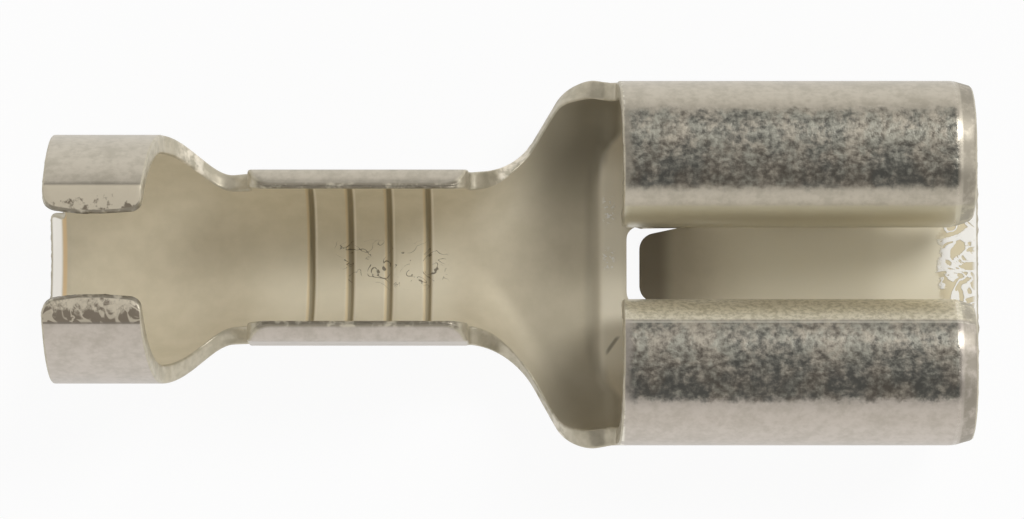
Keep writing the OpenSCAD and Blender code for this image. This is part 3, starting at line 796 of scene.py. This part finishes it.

# The tin is less of a mirror inside, on the flanks, the edges and the scuffed tips, and where highlights are
# # painted, so that their colour shows; the stub's slope and the specks are the smoothest.
bright = (0.7 * lead_in_glints + edge_glint).capped()
metal = 0.97 - 0.45 * inside - 0.25 * flank - 0.45 * cut_edge - 0.4 * speck
plate.link(metal * (1 - 0.9 * bright) * (1 - 0.7 * scuff), "Principled BSDF", "Metallic")
rough = 0.37 + 0.37 * inside - 0.3 * stub_slope - 0.35 * speck + 0.10 * (mottle - 0.5)
rough = rough + crown * (0.22 * pale - 0.06) + 0.16 * on_bevel - 0.10 * ridge
plate.link(rough, "Principled BSDF", "Roughness")
height = 0.6 * crown * grain + 0.35 * mottle * outside + 0.3 * cut_edge * torn - 0.6 * scratches
height = height + 1.2 * lead_in_glints + speck
bump = plate.node("ShaderNodeBump", None, {"Height": height, "Distance": 0.00002, "Strength": 0.7})
plate.link(bump, "Principled BSDF", "Normal")

mesh.materials.append(tin)
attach(terminal, "root")
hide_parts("terminal")

# ---------------------------------------------------------------------------------------------
# Floor: a white table top under the terminal. It looks plain white to the camera and in the
# tin's reflections, but keeps the terminal's shadow.
# ---------------------------------------------------------------------------------------------
FLOOR_GLOW = 0.93  # of what the camera and reflections see of it; the rest keeps the shadow

floor_mesh = bpy.data.meshes.new("floor")
floor_mesh.from_pydata([(-1, -1, 0), (1, -1, 0), (1, 1, 0), (-1, 1, 0)], [], [(0, 1, 2, 3)])
floor = bpy.data.objects.new("floor", floor_mesh)
bpy.context.collection.objects.link(floor)
white = bpy.data.materials.new("white_table")
table = Finish(white)
paint = table.tree.nodes["Principled BSDF"]
paint.inputs["Base Color"].default_value = (0.9, 0.9, 0.9, 1)
paint.inputs["Roughness"].default_value = 0.8
glow = table.node("ShaderNodeEmission", None, {"Color": (1.0, 1.0, 1.0), "Strength": 1.0})
camera_ray, glossy_ray, transmitted_ray = [
    table.node("ShaderNodeLightPath", None, None, name)
    for name in ("Is Camera Ray", "Is Glossy Ray", "Is Transmission Ray")]
direct = camera_ray + glossy_ray + transmitted_ray
top = table.node("ShaderNodeMixShader", None,
                 {0: FLOOR_GLOW * direct, 1: Signal(table, paint.outputs[0]), 2: glow})
table.link(top, "Material Output", "Surface")
floor_mesh.materials.append(white)

# ---------------------------------------------------------------------------------------------
# Light: a white tent all round the table, with the dark opening that the camera looks through
# overhead, and one small soft lamp at the upper right that puts glints on bevels and edges.
# ---------------------------------------------------------------------------------------------
TENT = 0.88
OPENING = 0.33
OPENING_TILT = math.radians(13)
LAMP_DISTANCE = 0.35

world = bpy.data.worlds.new("studio")
bpy.context.scene.world = world
sky = Finish(world)
direction = sky.node("ShaderNodeTexCoord", None, None, "Generated")
toward = sky.node("ShaderNodeVectorMath", {"operation": "DOT_PRODUCT"},
                  {0: direction, 1: (0.0, math.sin(OPENING_TILT), math.cos(OPENING_TILT))}, "Value")
sky.link(TENT - (TENT - OPENING) * toward.step(0.45, 0.62), "Background", "Strength")
sky.tree.nodes["Background"].inputs["Color"].default_value = (1.0, 0.985, 0.965, 1)

lamp = bpy.data.lights.new("lamp", "AREA")
lamp.size = 0.12
lamp.energy = 0.5
lamp_object = bpy.data.objects.new("lamp", lamp)
lamp_object.location = LAMP_DISTANCE * Vector((0.53, 0.44, 0.73))
lamp_object.rotation_euler = lamp_object.location.to_track_quat("Z", "Y").to_euler()
bpy.context.collection.objects.link(lamp_object)
bpy.context.scene.view_settings.view_transform = "Standard"
